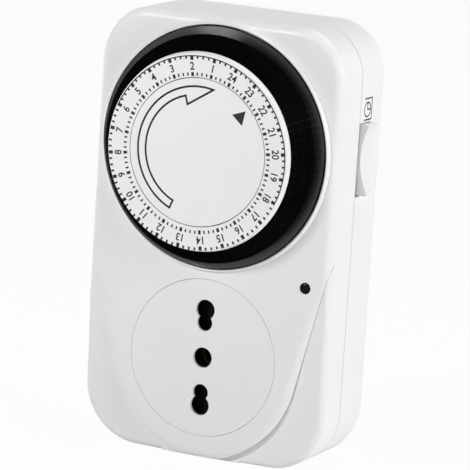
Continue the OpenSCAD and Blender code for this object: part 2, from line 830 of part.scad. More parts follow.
module feeler_pin() color(steel) from_front()
    translate([nose_at[0] - feeler_pin_l / 2, feeler_pin_d, feeler_z])
        rotate([0, 90, 0]) cylinder(r = feeler_pin_r, h = feeler_pin_l);

module rocker() color(white) from_front() {
    half = rocker_l / 2;
    top = half_w + rocker_out - rocker_x;
    end = 0.4;
    lip = 0.7;
    heel_half = 3;
    dip_r = ((half - end) ^ 2 + rocker_dip ^ 2) / (2 * rocker_dip);
    open = asin((half - end) / dip_r);
    saddle = arc([top - rocker_dip + dip_r, 0], dip_r, 180 - open, 180 + open);
    translate([rocker_x, 0, rocker_z])
        rotate([0, -rocker_swing / 2, 0]) {
            plate(rocker_front, rocker_front + rocker_w)
                polygon(concat(saddle, [[top - lip, -half], [0, end - half], [-rocker_heel, -heel_half],
                                        [-rocker_heel, heel_half], [0, half - end], [top - lip, half]]));
            bar(rocker_axle_r, axle_front, axle_back);
        }
}

// Lamp

module lamp_lens() color(black) from_front()
    turned(concat([[0, lens_back]],
                  arc([0, lens_dome_r - lens_dome], lens_dome_r, -90, asin(lamp_r / lens_dome_r) - 90),
                  [[lamp_r, lens_back]]), [lamp_x, lamp_z]);

module lamp_led() color(amber) from_front() {
    bar(led_r, lens_back + 0.4, lamp_board_d - slip_gap, [lamp_x, lamp_z]);
    for (side = [-1, 1])
        bar(leg_r, lamp_board_d - 1, lamp_board_d + lamp_board_t + 0.6, [lamp_x + side * leg_x, lamp_z]);
}

module lamp_board() color(green) from_front()
    difference() {
        box([lamp_x - lamp_board_w / 2, lamp_board_d, lamp_z - lamp_board_w / 2 - 1],
            [lamp_x + lamp_board_w / 2, lamp_board_d + lamp_board_t, lamp_z + lamp_board_w / 2]);
        for (side = [-1, 1]) bar(leg_r + slip_gap, 0, case_d, [lamp_x + side * leg_x, lamp_z]);
    }

module lamp_resistor() color(nylon) from_front() {
    r = 0.9;
    half = 2.4;
    translate([lamp_x - half, lamp_board_d + lamp_board_t + r + slip_gap, lamp_z - half])
        rotate([0, 90, 0]) cylinder(r = r, h = 2 * half);
}

// Leads of the lamp: one to the load bar, one to the neutral contact
lead_r = 0.5;
lead_rise = 3;
module lamp_leads() color(amber) from_front() {
    d = lamp_board_d + lamp_board_t + lead_r + slip_gap;
    start = lamp_z - lamp_board_w / 2 - lead_r;
    left = lamp_x - lamp_board_w / 2 + 2 * lead_r;
    right = lamp_x + lamp_board_w / 2 - 2 * lead_r;
    tap_x = terminal_x[0] + lead_r + strip_t;
    tap_z = load_bar_low - lead_r - slip_gap;
    wire([[left, d, start], [left, d, tap_z - lead_rise], [tap_x, base_d - lead_rise, tap_z - lead_rise],
          [tap_x, base_d - strip_t / 2, tap_z]], lead_r);
    wire([[right, d, start], [right, d, -small_pitch / 2],
          [2 * base_half_w, base_d - lead_rise, -large_pitch],
          [leaf_in + strip_t + lead_r, base_d - lead_rise, -large_pitch]], lead_r);
}

// Mechanism

module mechanism_plate() color(nylon) from_front()
    difference() {
        box([plate_left, plate_d, plate_low], [plate_right, plate_back, plate_high]);
        bar(spindle_r - spindle_step + slip_gap / 2, 0, case_d, dial_at);
        bar(gear_tip(pinion_n) + pinion_room, 0, case_d, fifth_at);
        for (p = plate_post_at) bar(screw_r + slip_gap, 0, case_d, p);
        for (p = [fourth_at, third_at, second_at, first_at]) bar(arbor_r, plate_d + layer_gap, case_d, p);
        for (p = case_screw_at) bar(case_post_r + pass_gap, 0, case_d, p);
    }

module gear_plate() color(nylon) from_front()
    difference() {
        box([plate_left, gear_plate_d, plate_low], [gear_plate_right, motor_front, plate_high - 1]);
        bar(gear_tip(pinion_n) + pinion_room, 0, case_d, rotor_at);
        for (p = [fifth_at, fourth_at, third_at, second_at, first_at]) bar(arbor_r, 0, case_d, p);
        for (p = case_screw_at) bar(case_post_r + pass_gap, 0, case_d, p);
    }

module plate_pillars() color(steel) from_front()
    for (p = pillar_at) bar(pillar_r, plate_back, gear_plate_d, p);

module plate_screws() color(steel) from_front()
    for (p = plate_post_at)
        screw(screw_r - plate_bite, plate_back - floor_back - screw_clear, screw_head_r, screw_head_t,
              plate_back, p);

module dial_spindle() color(steel) from_front()
    difference() {
        union() {
            bar(spindle_r, ring_back, plate_d, dial_at);
            bar(spindle_r - spindle_step, plate_d - eps, plate_back, dial_at);
        }
        bar(spindle_r / 2, ring_back - 1, ring_back + disc_peg_l + 1, dial_at);
    }

// The arbor of the fifth wheel also reaches into the floor of the well
module gear_arbors() color(steel) from_front() {
    bar(arbor_r, drive_d, motor_front, fifth_at);
    for (p = [fourth_at, third_at, second_at, first_at]) bar(arbor_r, plate_d + layer_gap, motor_front, p);
}

module first_wheel() color(white) from_front() train_wheel(1, small_n, first_at, rotor_at, second_at);
module second_wheel() color(white) from_front() train_wheel(2, large_n, second_at, first_at, third_at);
module third_wheel() color(white) from_front() train_wheel(3, large_n, third_at, second_at, fourth_at);
module fourth_wheel() color(white) from_front() train_wheel(4, small_n, fourth_at, third_at, fifth_at);
module fifth_wheel() color(white) from_front() train_wheel(5, large_n, fifth_at, fourth_at, dial_at);

module dial_drive_wheel() color(white) from_front()
    difference() {
        union() {
            gear(drive_n, drive_d, drive_d + drive_rim_t, dial_at, toward(dial_at, fifth_at) + 180 / drive_n);
            bar(hub_r, drive_d, drive_d + drive_hub_t, dial_at);
        }
        bar(spindle_r + run_gap, 0, case_d, dial_at);
    }

module clutch_washer() color(steel) from_front()
    tube(spindle_r + slip_gap, hub_r, hub_end + slip_gap, hub_end + slip_gap + washer_t, dial_at);

// Motor

module motor_can() color(steel) from_front()
    difference() {
        bar(motor_r, motor_front, motor_front + motor_d, rotor_at);
        bar(motor_r - motor_t, motor_front - 1, motor_front + motor_d - motor_t, rotor_at);
        bar(shaft_r + run_gap, 0, case_d, rotor_at);
        // window of the leads
        box([rotor_at[0] - 4, motor_front + 1, 0],
            [rotor_at[0] + 4, motor_front + motor_d - 1.4, rotor_at[1] - magnet_r]);
    }

// Bobbin between the rotor and the can; the winding fills its groove
bobbin_t = 0.6;
bobbin_in = magnet_r + layer_gap;
bobbin_out = motor_r - motor_t - 2 * slip_gap;
bobbin_front = motor_front + slip_gap;
bobbin_back = motor_front + motor_d - motor_t - slip_gap;

module motor_bobbin() color(nylon) from_front() {
    groove = bobbin_in + bobbin_t;
    turned([[bobbin_in, bobbin_front], [bobbin_out, bobbin_front], [bobbin_out, bobbin_front + bobbin_t],
            [groove, bobbin_front + bobbin_t], [groove, bobbin_back - bobbin_t],
            [bobbin_out, bobbin_back - bobbin_t], [bobbin_out, bobbin_back], [bobbin_in, bobbin_back]],
           rotor_at);
}

module motor_winding() color(copper) from_front()
    tube(bobbin_in + bobbin_t + slip_gap, bobbin_out - bobbin_t, bobbin_front + bobbin_t + slip_gap,
         bobbin_back - bobbin_t - slip_gap, rotor_at);

module motor_leads() color(amber) from_front() {
    d = motor_front + motor_d / 2;
    z = rotor_at[1] - motor_r - 0.2;
    wire([[rotor_at[0] + 1.5, d, z], [rotor_at[0] + 1.5, d, 24], [-1.5, bar_d - 1, 20],
          [-1.5, bar_d + 0.3, 16.2]], lead_r);
    wire([[rotor_at[0] - 1.5, d, z], [rotor_at[0] - 1.5, d, 40], [-12, d, 24], [-12, base_d - 3, -8],
          [-leaf_in - strip_t - lead_r, base_d - 3, -13]], lead_r);
}

module rotor_magnet() color(black) from_front()
    tube(shaft_r, magnet_r, motor_front + layer_gap, motor_front + motor_d - motor_t - pass_gap, rotor_at);

module rotor_shaft() color(steel) from_front() {
    bar(shaft_r, motor_front + pass_gap, motor_front + motor_d - slip_gap, rotor_at);
    gear(pinion_n, layer(1) - slip_gap, motor_front + pass_gap + eps, rotor_at, toward(rotor_at, first_at));
}

// Dial

module segment_carrier() color(black) from_front() {
    slot_half = foot_t / 2 + slip_gap;
    difference() {
        turned([[spindle_r + run_gap, ring_back], [ring_r, ring_back], [ring_r, flange_front],
                [flange_r, flange_front], [flange_r, -flange_lift], [carrier_wall_in, -flange_lift],
                [carrier_wall_in, ring_back + carrier_t], [hub_r, ring_back + carrier_t], [hub_r, hub_end],
                [spindle_r + run_gap, hub_end]], dial_at);
        for (i = [0 : segments - 1])
            translate([0, 0, dial_z])
                rotate([0, -(i + 0.5) * 360 / segments, 0])
                    box([foot_r - slot_half, flange_front - 1, -foot_w / 2 - slip_gap],
                        [foot_r + slot_half, 0, foot_w / 2 + slip_gap]);
    }
}

module number_ring() color(white) from_front()
    turned([[centre_r + pass_gap, -dial_h], [ring_r - ring_edge, -dial_h], [ring_r, ring_back],
            [centre_r + pass_gap, ring_back]], dial_at);

module centre_disc() color(white) from_front() {
    back = ring_back - 0.4;
    bar(centre_r, -dial_h, back, dial_at);
    bar(spindle_r, back - eps, ring_back, dial_at);
    bar((spindle_r - slip_gap) / 2, ring_back - eps, ring_back + disc_peg_l, dial_at);
}

foot_w = 1.2;
segment_in = ring_r + slip_gap;
segment_back = flange_front - segment_travel - pass_gap;

// Ridged outer face of a segment, as radius and depth from its front to its back
ridges = [[0.6, 0], [1.1, 1.9], [1.7, 2.3], [2.9, 3.9], [2.9, 4.4], [3.8, 5.0]];

module segment(i) {
    step = 360 / segments;
    half_gap = segment_gap / foot_r * 180 / PI / 2;
    front = ring_back + 0.1;
    turned(concat([[segment_in, segment_back], [segment_in, front]],
                  [for (p = ridges) [segment_in + p[0], front + p[1]]],
                  [[segment_in + 3.8, segment_back]]),
           dial_at, step - 2 * half_gap, i * step + half_gap);
    translate([0, 0, dial_z])
        rotate([0, -(i + 0.5) * step, 0])
            box([foot_r - foot_t / 2, segment_back - eps, -foot_w / 2],
                [foot_r + foot_t / 2, slip_gap - flange_lift, foot_w / 2]);
}

// Segments of one quarter of the day
module quarter(q) color(black) from_front()
    for (i = [q * segments / 4 : (q + 1) * segments / 4 - 1]) segment(i);

module night_segments() quarter(0);
module morning_segments() quarter(1);
module afternoon_segments() quarter(2);
module evening_segments() quarter(3);

front_cover();
rear_cover();
case_screws();
socket_faceplate();
socket_shutter();
shutter_spring();
line_socket_contact();
neutral_socket_contact();
earth_socket_contact();
contact_base();
plug_earth_pin();
plug_line_pin();
plug_neutral_pin();
pin_sleeves();
line_bar();
load_bar();
switch_case();
switch_lid();
switch_plunger();
switch_blade();
switch_terminals();
feeler_lever();
feeler_pin();
rocker();
lamp_lens();
lamp_led();
lamp_board();
lamp_resistor();
lamp_leads();
mechanism_plate();
gear_plate();
plate_pillars();
plate_screws();
dial_spindle();
gear_arbors();
first_wheel();
second_wheel();
third_wheel();
fourth_wheel();
fifth_wheel();
dial_drive_wheel();
clutch_washer();
motor_can();
motor_bobbin();
motor_winding();
motor_leads();
rotor_magnet();
rotor_shaft();
segment_carrier();
number_ring();
centre_disc();
night_segments();
morning_segments();
afternoon_segments();
evening_segments();
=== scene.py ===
"""Plug-in socket timer: the moulded finish, the printed dial, the light and the camera."""

import math

import bpy
from mathutils import Matrix, Vector


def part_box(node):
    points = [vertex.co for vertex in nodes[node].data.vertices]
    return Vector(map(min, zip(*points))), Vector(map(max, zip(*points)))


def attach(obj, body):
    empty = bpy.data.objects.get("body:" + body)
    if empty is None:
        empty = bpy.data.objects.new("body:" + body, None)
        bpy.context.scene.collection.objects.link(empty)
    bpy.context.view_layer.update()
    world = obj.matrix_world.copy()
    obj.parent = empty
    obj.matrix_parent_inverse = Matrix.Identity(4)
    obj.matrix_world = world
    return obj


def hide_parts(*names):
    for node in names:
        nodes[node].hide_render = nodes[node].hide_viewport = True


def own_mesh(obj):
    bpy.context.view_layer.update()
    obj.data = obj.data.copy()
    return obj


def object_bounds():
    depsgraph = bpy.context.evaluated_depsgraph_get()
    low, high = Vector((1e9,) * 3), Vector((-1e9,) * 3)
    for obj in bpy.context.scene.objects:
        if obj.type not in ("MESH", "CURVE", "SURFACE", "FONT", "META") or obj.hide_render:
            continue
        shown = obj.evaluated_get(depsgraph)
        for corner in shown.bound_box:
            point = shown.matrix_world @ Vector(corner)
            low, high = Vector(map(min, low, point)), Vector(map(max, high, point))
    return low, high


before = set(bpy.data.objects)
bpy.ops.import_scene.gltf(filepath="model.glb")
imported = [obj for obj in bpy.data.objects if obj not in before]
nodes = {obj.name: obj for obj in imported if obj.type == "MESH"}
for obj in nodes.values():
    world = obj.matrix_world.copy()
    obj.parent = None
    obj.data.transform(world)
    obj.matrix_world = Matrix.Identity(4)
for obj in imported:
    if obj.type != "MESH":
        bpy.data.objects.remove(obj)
cad_low, cad_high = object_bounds()
scene = bpy.context.scene
scene.view_settings.view_transform = "Standard"

MM = 0.001
QUARTER_TURN = math.radians(90)

# Places taken from the frame
ring_low, ring_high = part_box("number_ring")
dial_centre = Vector(((ring_low.x + ring_high.x) / 2, 0, (ring_low.z + ring_high.z) / 2))
dial_face_y = ring_low.y
front_face_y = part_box("socket_faceplate")[0].y
side_face_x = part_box("rear_cover")[1].x
floor_z = cad_low.z


# Camera, as fitted to the photograph

AZIMUTH = math.radians(25.68)
ELEVATION = math.radians(12.71)
ROLL = math.radians(3.57)
DISTANCE = 1.084
IMAGE_SIZE = 470
FOCAL_PIXELS = 4079
# pixel of the photograph where the middle of the socket face lies
SOCKET_PIXEL = (202.39, 357.68)


def add_camera():
    """A long lens to the right of the front and a little above, rolled as the photograph is."""
    back = Vector(
        (
            math.sin(AZIMUTH) * math.cos(ELEVATION),
            -math.cos(AZIMUTH) * math.cos(ELEVATION),
            math.sin(ELEVATION),
        )
    )
    level = Vector((math.cos(AZIMUTH), math.sin(AZIMUTH), 0))
    upright = back.cross(level)
    right = math.cos(ROLL) * level + math.sin(ROLL) * upright
    up = math.cos(ROLL) * upright - math.sin(ROLL) * level
    across = (IMAGE_SIZE / 2 - SOCKET_PIXEL[0]) / FOCAL_PIXELS
    above = (SOCKET_PIXEL[1] - IMAGE_SIZE / 2) / FOCAL_PIXELS
    aim = (-back + across * right + above * up).normalized()
    x_axis = aim.cross(up).normalized()
    y_axis = x_axis.cross(aim)
    turn = Matrix((x_axis, y_axis, -aim)).transposed()
    place = Vector((0, front_face_y, 0)) + DISTANCE * back
    bpy.ops.object.camera_add()
    camera = bpy.context.object
    camera.name = "camera"
    camera.matrix_world = Matrix.Translation(place) @ turn.to_4x4()
    camera.data.lens = FOCAL_PIXELS * camera.data.sensor_width / IMAGE_SIZE
    scene.camera = camera


add_camera()


# Materials

# waves per metre of the clouds in a moulding's colour and gloss, and of the marks on metal
COLOUR_CLOUDS = 60
GLOSS_CLOUDS = 240
METAL_MARKS = 1400


def new_material(name):
    """An empty node material with its Principled shader."""
    material = bpy.data.materials.new(name)
    material.use_nodes = True
    tree = material.node_tree
    return material, tree, tree.nodes["Principled BSDF"]


def object_place(tree, lay=(1, 1, 1)):
    """Object coordinates, scaled along the axes by lay."""
    place = tree.nodes.new("ShaderNodeTexCoord")
    scaled = tree.nodes.new("ShaderNodeMapping")
    scaled.inputs["Scale"].default_value = lay
    tree.links.new(place.outputs["Object"], scaled.inputs["Vector"])
    return scaled.outputs["Vector"]


def noise(tree, scale, detail=3, lay=(1, 1, 1)):
    """A cloudy pattern; scale is in waves per metre, and a lay under 1 draws it out along that axis."""
    texture = tree.nodes.new("ShaderNodeTexNoise")
    texture.inputs["Scale"].default_value = scale
    texture.inputs["Detail"].default_value = detail
    tree.links.new(object_place(tree, lay), texture.inputs["Vector"])
    return texture.outputs["Fac"]


def bands(tree, axis, scale, distortion=0):
    """Even bands that follow each other along an axis."""
    texture = tree.nodes.new("ShaderNodeTexWave")
    texture.bands_direction = axis
    texture.inputs["Scale"].default_value = scale
    texture.inputs["Distortion"].default_value = distortion
    tree.links.new(object_place(tree), texture.inputs["Vector"])
    return texture.outputs["Fac"]


def ramp(tree, factor, low, high, start=0.3, end=0.7):
    """Two tones, or two greys as a value, mixed by a factor."""
    mix = tree.nodes.new("ShaderNodeValToRGB")
    for stop, tone, place in zip(mix.color_ramp.elements, (low, high), (start, end)):
        stop.position = place
        stop.color = (*tone, 1) if isinstance(tone, tuple) else (tone, tone, tone, 1)
    tree.links.new(factor, mix.inputs["Fac"])
    return mix.outputs["Color"]


def bump(tree, shader, height, depth):
    """Relief of a depth in metres."""
    relief = tree.nodes.new("ShaderNodeBump")
    relief.inputs["Distance"].default_value = depth
    tree.links.new(height, relief.inputs["Height"])
    tree.links.new(relief.outputs["Normal"], shader.inputs["Normal"])


def shade(tone, factor):
    """A tone made lighter or darker."""
    return tuple(min(1, channel * factor) for channel in tone)


def moulded(name, tone, spread=0.015, gloss=(0.36, 0.46), grain=2600, depth=0.012 * MM, shine=0.5):
    """Moulded plastic: a little cloudy in colour and gloss, with the fine grain of its tool."""
    material, tree, shader = new_material(name)
    tint = ramp(tree, noise(tree, COLOUR_CLOUDS), shade(tone, 1 - spread), shade(tone, 1 + spread))
    tree.links.new(tint, shader.inputs["Base Color"])
    tree.links.new(ramp(tree, noise(tree, GLOSS_CLOUDS), *gloss), shader.inputs["Roughness"])
    bump(tree, shader, noise(tree, grain), depth)
    shader.inputs["Specular IOR Level"].default_value = shine
    return material


def metal(name, tone, gloss=(0.22, 0.36), lay=(1, 1, 1)):
    """Metal with fine drawing marks; a lay under 1 draws them out along that axis."""
    material, tree, shader = new_material(name)
    marks = noise(tree, METAL_MARKS, detail=2, lay=lay)
    tree.links.new(ramp(tree, marks, shade(tone, 0.9), shade(tone, 1.05)), shader.inputs["Base Color"])
    tree.links.new(ramp(tree, marks, *gloss), shader.inputs["Roughness"])
    bump(tree, shader, marks, depth=0.006 * MM)
    shader.inputs["Metallic"].default_value = 1
    return material


def wound_copper():
    """Enamelled wire in close turns round the motor's axis."""
    material, tree, shader = new_material("wound_copper")
    turns = bands(tree, "Y", scale=1500, distortion=0.6)
    tint = ramp(tree, turns, (0.30, 0.10, 0.04), (0.72, 0.33, 0.15))
    tree.links.new(tint, shader.inputs["Base Color"])
    tree.links.new(ramp(tree, turns, 0.45, 0.25), shader.inputs["Roughness"])
    bump(tree, shader, turns, depth=0.04 * MM)
    shader.inputs["Metallic"].default_value = 1
    return material


def banded_resistor():
    """Painted body with plain colour bands along its length."""
    material, tree, shader = new_material("banded_resistor")
    stripes = bands(tree, "X", scale=180)
    tint = ramp(tree, stripes, (0.16, 0.07, 0.03), (0.62, 0.48, 0.30), start=0.12, end=0.2)
    tree.links.new(tint, shader.inputs["Base Color"])
    shader.inputs["Roughness"].default_value = 0.35
    return material


def tinted_lens():
    """Deep red, clear plastic that looks almost black when it isn't lit."""
    material, tree, shader = new_material("tinted_lens")
    tint = ramp(tree, noise(tree, 500), (0.002, 0.001, 0.001), (0.004, 0.0015, 0.0015))
    tree.links.new(tint, shader.inputs["Base Color"])
    tree.links.new(ramp(tree, noise(tree, 900), 0.03, 0.05), shader.inputs["Roughness"])
    shader.inputs["Specular IOR Level"].default_value = 0.1
    return material


def turned_flange():
    """Black plastic from a turned mould: fine rings about the dial's axis spread its shine outwards."""
    tone = (0.002, 0.002, 0.002)
    material = moulded("turned_flange", tone, spread=0.3, gloss=(0.24, 0.26), depth=0.001 * MM, shine=0.75)
    tree = material.node_tree
    shader = tree.nodes["Principled BSDF"]
    shader.inputs["Anisotropic"].default_value = 1
    shader.inputs["Anisotropic Rotation"].default_value = 0.25
    rings = tree.nodes.new("ShaderNodeTangent")
    rings.direction_type = "RADIAL"
    rings.axis = "Y"
    tree.links.new(rings.outputs["Tangent"], shader.inputs["Tangent"])
    return material


white_case = moulded("white_case", (0.83, 0.83, 0.835), spread=0.008)
white_dial = moulded(
    "white_dial",
    (0.87, 0.87, 0.865),
    spread=0.006,
    gloss=(0.42, 0.5),
    grain=4000,
    depth=0.006 * MM,
)
white_rocker = moulded("white_rocker", (0.81, 0.81, 0.81), spread=0.006)
black_satin = moulded(
    "black_satin",
    (0.003, 0.003, 0.003),
    spread=0.3,
    gloss=(0.24, 0.34),
    depth=0.004 * MM,
    shine=0,
)
black_turned = turned_flange()
black_matt = moulded("black_matt", (0.006, 0.006, 0.006), spread=0.2, gloss=(0.5, 0.65), shine=0.06)
dial_ink = moulded(
    "dial_ink",
    (0.015, 0.015, 0.016),
    spread=0.15,
    gloss=(0.5, 0.62),
    grain=6000,
    depth=0.002 * MM,
    shine=0.25,
)
sleeve_plastic = moulded("sleeve_plastic", (0.016, 0.016, 0.017), spread=0.15, gloss=(0.42, 0.55))
nylon = moulded("natural_nylon", (0.74, 0.69, 0.56), spread=0.04, gloss=(0.4, 0.55))
acetal = moulded("gear_acetal", (0.80, 0.79, 0.75), spread=0.02, gloss=(0.3, 0.42))
amber = moulded("amber_plastic", (0.36, 0.09, 0.03), spread=0.1, gloss=(0.3, 0.45))
red_body = moulded("lamp_red", (0.45, 0.03, 0.02), spread=0.06, gloss=(0.1, 0.2))
ferrite = moulded(
    "ferrite",
    (0.03, 0.03, 0.032),
    spread=0.3,
    gloss=(0.55, 0.75),
    grain=5000,
    depth=0.03 * MM,
)
board_green = moulded("board", (0.02, 0.13, 0.06), spread=0.12, gloss=(0.3, 0.4), grain=3500)
wire_cover = moulded("wire_insulation", (0.32, 0.04, 0.03), spread=0.08, gloss=(0.35, 0.5))
steel = metal("steel", (0.62, 0.63, 0.65))
nickel = metal("nickelled_pin", (0.72, 0.69, 0.62), lay=(1, 0.05, 1))
brass = metal("brass", (0.78, 0.58, 0.27))
# painted shade: brass darkened nearly to black so that the socket contacts look dark deep inside the holes
shade_dark_brass = metal("shade_dark_brass", (0.10, 0.075, 0.04), gloss=(0.45, 0.6))
spring_bronze = metal("spring_bronze", (0.70, 0.42, 0.24))
winding = wound_copper()
resistor = banded_resistor()
lens = tinted_lens()

FINISH = {
    white_case: ("front_cover", "rear_cover", "socket_faceplate"),
    white_dial: ("number_ring", "centre_disc"),
    white_rocker: ("rocker",),
    black_satin: ("night_segments", "morning_segments", "afternoon_segments", "evening_segments"),
    black_turned: ("segment_carrier",),
    black_matt: ("switch_case", "socket_shutter"),
    sleeve_plastic: ("pin_sleeves",),
    nylon: ("contact_base", "feeler_lever", "mechanism_plate", "gear_plate", "motor_bobbin"),
    acetal: (
        "first_wheel",
        "second_wheel",
        "third_wheel",
        "fourth_wheel",
        "fifth_wheel",
        "dial_drive_wheel",
    ),
    amber: ("switch_lid", "switch_plunger"),
    red_body: ("lamp_led",),
    ferrite: ("rotor_magnet",),
    board_green: ("lamp_board",),
    wire_cover: ("lamp_leads", "motor_leads"),
    steel: (
        "case_screws",
        "shutter_spring",
        "feeler_pin",
        "plate_pillars",
        "plate_screws",
        "dial_spindle",
        "gear_arbors",
        "clutch_washer",
        "motor_can",
        "rotor_shaft",
    ),
    nickel: ("plug_earth_pin", "plug_line_pin", "plug_neutral_pin"),
    shade_dark_brass: ("line_socket_contact", "neutral_socket_contact", "earth_socket_contact"),
    brass: ("line_bar", "load_bar", "switch_terminals"),
    spring_bronze: ("switch_blade",),
    winding: ("motor_winding",),
    resistor: ("lamp_resistor",),
    lens: ("lamp_lens",),
}


def paint(piece, material):
    """Gives a piece one material all over."""
    piece.data.materials.clear()
    piece.data.materials.append(material)


for material, names in FINISH.items():
    for name in names:
        paint(nodes[name], material)


# Shaping helpers

# points closer than this are one point
WELD = 0.002 * MM


def deselect():
    """Leaves no object selected."""
    bpy.ops.object.select_all(action="DESELECT")


def pick(piece):
    """Makes a piece the only one selected, and active."""
    deselect()
    piece.select_set(True)
    bpy.context.view_layer.objects.active = piece


def edit_all(piece):
    """Opens a piece in edit mode with all of it selected."""
    pick(piece)
    bpy.ops.object.mode_set(mode="EDIT")
    bpy.ops.mesh.select_all(action="SELECT")


def end_edit():
    """Goes back to object mode."""
    bpy.ops.object.mode_set(mode="OBJECT")


def merged_copy(node, name):
    """A copy of a CAD node with its loose triangles joined."""
    piece = bpy.data.objects.new(name, nodes[node].data.copy())
    scene.collection.objects.link(piece)
    edit_all(piece)
    bpy.ops.mesh.customdata_custom_splitnormals_clear()
    bpy.ops.mesh.remove_doubles(threshold=WELD)
    end_edit()
    return piece


def turn_faces_out(piece):
    """Makes all faces point outwards."""
    edit_all(piece)
    bpy.ops.mesh.normals_make_consistent(inside=False)
    end_edit()


def close_ends(piece):
    """Closes the open ends of a swept piece."""
    edit_all(piece)
    bpy.ops.mesh.fill_holes(sides=0)
    end_edit()
    turn_faces_out(piece)


def delete_faces(piece, test):
    """Deletes the faces whose middle passes a test."""
    pick(piece)
    bpy.ops.object.mode_set(mode="EDIT")
    bpy.ops.mesh.select_mode(type="FACE")
    bpy.ops.mesh.select_all(action="DESELECT")
    end_edit()
    for face in piece.data.polygons:
        face.select = test(face.center)
    bpy.ops.object.mode_set(mode="EDIT")
    bpy.ops.mesh.delete(type="FACE")
    end_edit()


def apply_modifier(piece, modifier):
    """Makes a modifier's result the piece's own mesh."""
    pick(piece)
    bpy.ops.object.modifier_apply(modifier=modifier.name)


def smooth(piece, angle):
    """Shades a piece smooth, apart from edges sharper than an angle in degrees."""
    pick(piece)
    bpy.ops.object.shade_smooth_by_angle(angle=math.radians(angle))


def finish_piece(piece, body, material):
    """Paints a piece and puts it on its body."""
    paint(piece, material)
    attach(piece, body)
    deselect()


# Front cover, with the edges of its raised panel and of the ground beside it rounded over

# height where the panel's edge leaves the side, and how far it stands proud at the foot
PANEL_TOP = 30 * MM
PANEL_STEP = 2.4 * MM
# its edge slopes inwards, goes on straight below the socket's axis and ends in an arc
PANEL_SLOPE = math.radians(14.2)
PANEL_BELOW_AXIS = 6 * MM
PANEL_RADIUS = 29.6 * MM
PANEL_ARC = math.radians(62)
# the crest's round at its full size, and how far inside the edge its foot lies
ROUND_WIDTH = 2.4 * MM
ROUND_DROP = 0.7 * MM
ROUND_FOOT = 0.03 * MM
# where the step is low: the most of it that the round takes, the round's width, and the least step
ROUND_SHARE = 0.9
ROUND_WIDTH_PER_DROP = 4.5
LEAST_STEP = 0.02 * MM
# groove at the foot of the step, and the height over which it fades in
GROOVE_WIDTH = 0.13 * MM
GROOVE_DEPTH = 0.25 * MM
GROOVE_FADE = 5 * MM
# the case's lower corner, seen from the front, and the round of its front edge
CASE_CORNER = 15.7 * MM
CASE_EDGE = 2.5 * MM
# rounded rim of the ground beside the panel: its top, where it ends at the foot, and its radii
RIM_TOP = 19 * MM
RIM_END = 11.5 * MM
RIM_ROUND = 1.7 * MM
RIM_SMALL = 1.1 * MM
# part of the straight rim over which its round grows to full size
RIM_GROWTH = 0.4
# how far a cutter stands out of the surface, and how close its points may be
CUTTER_CLEAR = 0.4 * MM
CUTTER_WELD = 0.0001 * MM


def panel_edge():
    """Points down the panel's right edge, each with the way into the panel, as across and height."""
    straight_steps = 12
    arc_steps = 28
    inward = Vector((-math.cos(PANEL_SLOPE), math.sin(PANEL_SLOPE)))
    down = Vector((-math.sin(PANEL_SLOPE), -math.cos(PANEL_SLOPE)))
    start = Vector((side_face_x, PANEL_TOP))
    straight = PANEL_TOP / math.cos(PANEL_SLOPE) + PANEL_BELOW_AXIS
    points = [(start + straight * down * i / straight_steps, inward) for i in range(straight_steps)]
    centre = start + straight * down + PANEL_RADIUS * inward
    for i in range(arc_steps + 1):
        angle = PANEL_SLOPE + PANEL_ARC * i / arc_steps
        inward = Vector((-math.cos(angle), math.sin(angle)))
        points.append((centre - PANEL_RADIUS * inward, inward))
    return points


def round_section(drop, width, foot, bottom, outside):
    """Closed section of a cutter, as distance inward and depth: a round, then a step at its foot."""
    arc_steps = 8
    turn = 2 * math.atan2(drop, width - foot)
    radius = (width - foot) / math.sin(turn)
    section = []
    for i in range(arc_steps + 1):
        angle = turn * i / arc_steps
        section.append((width - radius * math.sin(angle), radius * (1 - math.cos(angle))))
    below = [(foot, bottom), (-outside, bottom)]
    return section + below + [(-outside, -CUTTER_CLEAR), (width, -CUTTER_CLEAR)]


def ground_depth(height):
    """Depth of the sloping ground beside the panel, behind the front face."""
    return PANEL_STEP * (PANEL_TOP - height) / (PANEL_TOP - floor_z)


def edge_depth(across):
    """Depth of the case's rounded front edge near its side, behind the front face."""
    inside = max(0, CASE_EDGE - (side_face_x - across))
    return CASE_EDGE - math.sqrt(CASE_EDGE**2 - inside**2)


def panel_rings(side, groove):
    """Sections of a bar along one edge of the panel, with a groove at its foot where one is wanted."""
    rings = []
    for point, inward in panel_edge():
        step = max(ground_depth(point.y), LEAST_STEP)
        drop = min(ROUND_DROP, ROUND_SHARE * step)
        deep = groove * min(1, (PANEL_TOP - point.y) / GROOVE_FADE)
        section = round_section(
            drop=drop,
            width=min(ROUND_WIDTH, ROUND_WIDTH_PER_DROP * drop),
            foot=ROUND_FOOT,
            bottom=max(step, edge_depth(point.x)) + deep if deep else drop,
            outside=GROOVE_WIDTH,
        )
        places = [(point + inward * into, depth) for into, depth in section]
        rings.append([(side * flat.x, front_face_y + depth, flat.y) for flat, depth in places])
    return rings


def ground_rim():
    """Points along the case's outer edge beside the panel, each with the way in and its round's radius."""
    straight_steps = 16
    arc_steps = 18
    foot_steps = 6
    corner = Vector((side_face_x - CASE_CORNER, floor_z + CASE_CORNER))
    points = []
    for i in range(straight_steps):
        height = RIM_TOP + (corner.y - RIM_TOP) * i / straight_steps
        share = min(1, i / (RIM_GROWTH * straight_steps))
        points.append((Vector((side_face_x, height)), Vector((-1, 0)), share))
    for i in range(arc_steps):
        angle = QUARTER_TURN * i / arc_steps
        inward = Vector((-math.cos(angle), math.sin(angle)))
        points.append((corner - CASE_CORNER * inward, inward, 1))
    for i in range(foot_steps + 1):
        across = corner.x + (RIM_END - corner.x) * i / foot_steps
        points.append((Vector((across, floor_z)), Vector((0, 1)), 1 - i / foot_steps))
    growth = RIM_ROUND - RIM_SMALL
    return [(point, inward, RIM_SMALL + growth * share) for point, inward, share in points]


